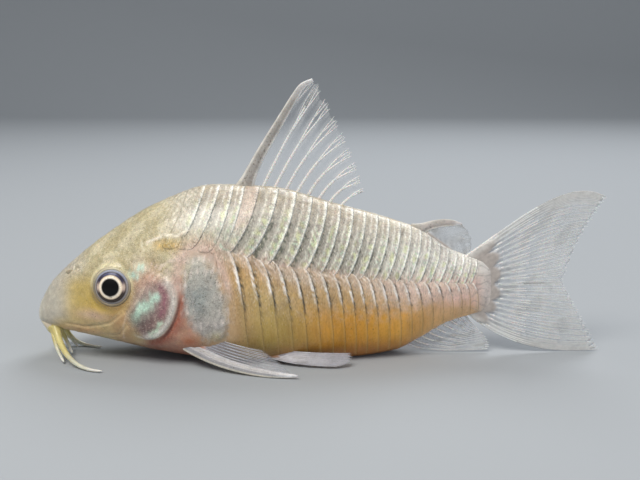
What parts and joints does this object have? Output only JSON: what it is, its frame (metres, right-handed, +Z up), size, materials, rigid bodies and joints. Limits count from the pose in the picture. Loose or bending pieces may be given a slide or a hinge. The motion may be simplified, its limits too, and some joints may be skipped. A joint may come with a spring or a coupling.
{
  "type": "corydoras catfish model",
  "caption": "Still, life-size armoured catfish resting on its belly and fins, with plated flanks, a blunt head, barbels and a forked tail.",
  "frame": {"origin": "floor point under the middle of the fish's overall box", "axes": "-X is forwards, from tail to snout; +Z is up, towards the back; the fish's left side is -Y"},
  "size_m": [0.075, 0.023, 0.0364],
  "materials": {
    "head_skin": "moist, finely speckled skin",
    "scutes": "smooth bony plates with a pearly sheen",
    "fin_skin": "thin clear membrane on pale rays",
    "feeler_skin": "soft skin",
    "eye": "wet gloss"
  },
  "bodies": {
    "root": {"adipose_fin": "fin_skin", "anal_fin": "fin_skin", "barbel_chin_left": "feeler_skin", "barbel_chin_right": "feeler_skin", "barbel_long_left": "feeler_skin", "barbel_long_right": "feeler_skin", "barbel_short_left": "feeler_skin", "barbel_short_right": "feeler_skin", "caudal_fin_lower_lobe": "fin_skin", "caudal_fin_upper_lobe": "fin_skin", "dorsal_fin": "fin_skin", "eye_left": "eye", "eye_right": "eye", "head": "head_skin", "pectoral_fin_left": "fin_skin", "pectoral_fin_right": "fin_skin", "pelvic_fin_left": "fin_skin", "pelvic_fin_right": "fin_skin", "tail_stem": "scutes", "trunk": "scutes"}
  },
  "joints": []
}
